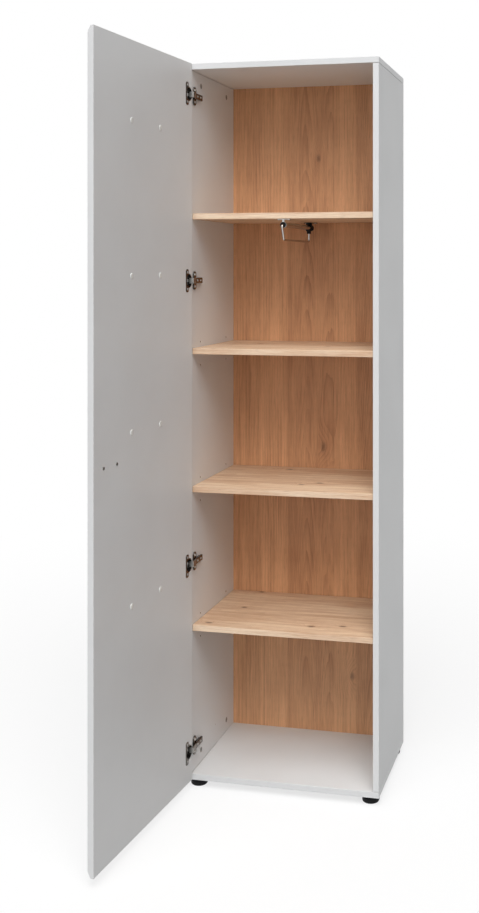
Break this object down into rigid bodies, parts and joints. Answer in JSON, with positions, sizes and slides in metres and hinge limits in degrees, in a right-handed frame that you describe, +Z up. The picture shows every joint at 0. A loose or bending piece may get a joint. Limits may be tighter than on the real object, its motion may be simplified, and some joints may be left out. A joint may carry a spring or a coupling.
{
  "type": "wardrobe",
  "caption": "Tall narrow white wardrobe with a full-height hinged door, oak-decor shelves and back, a short hanger rail and low round feet.",
  "frame": {"origin": "on the floor, under the middle of the carcass's width and depth; the door and its handle aren't counted", "axes": "+Z up, +Y towards the rear, which stands at the wall, +X to the right as seen from the front"},
  "size_m": [0.5954, 0.9099, 1.97],
  "materials": {
    "white_board": "white melamine-faced particle board, fine satin texture",
    "oak_board": "knotty oak decor, satin",
    "nickel_steel": "nickel-plated pressed steel",
    "zinc": "die-cast zinc",
    "beech": "plain beech",
    "black_plastic": "black moulded plastic",
    "chrome": "bright chrome",
    "white_plastic": "white moulded plastic",
    "satin_steel": "satin steel"
  },
  "bodies": {
    "carcass": {"side_left": "white_board", "side_right": "white_board", "top_panel": "white_board", "bottom_panel": "white_board", "back_panel": "oak_board", "shelf_1": "oak_board", "shelf_2": "oak_board", "shelf_3": "oak_board", "shelf_4": "oak_board", "shelf_pins": "nickel_steel", "cam_locks": "zinc", "cam_bolts": "nickel_steel", "wood_dowels": "beech", "foot_front_left": "black_plastic", "foot_front_right": "black_plastic", "foot_rear_left": "black_plastic", "foot_rear_right": "black_plastic", "foot_screws": "nickel_steel", "hinge_plate_1": "nickel_steel", "hinge_plate_2": "nickel_steel", "hinge_plate_3": "nickel_steel", "hinge_plate_4": "nickel_steel", "hinge_arm_1": "nickel_steel", "hinge_arm_2": "nickel_steel", "hinge_arm_3": "nickel_steel", "hinge_arm_4": "nickel_steel", "plate_screws": "nickel_steel", "arm_screws": "nickel_steel", "rail_tube": "chrome", "rail_bush": "black_plastic", "rail_bracket_front": "chrome", "rail_bracket_rear": "black_plastic", "rail_screws": "nickel_steel", "rail_loop": "chrome", "rail_slider": "black_plastic"},
    "door": {"door_leaf": "white_board", "hinge_cup_1": "nickel_steel", "hinge_cup_2": "nickel_steel", "hinge_cup_3": "nickel_steel", "hinge_cup_4": "nickel_steel", "hinge_pins": "nickel_steel", "cup_screws": "nickel_steel", "screw_caps": "white_plastic", "handle": "satin_steel", "handle_screws": "nickel_steel"}
  },
  "joints": [
    {"name": "door_swing", "type": "hinge", "parent": "carcass", "child": "door", "pos_m": [-0.2585, -0.1995, 0.996], "axis": [0, 0, -1], "range_deg": [-94.2, 0.8]}
  ]
}
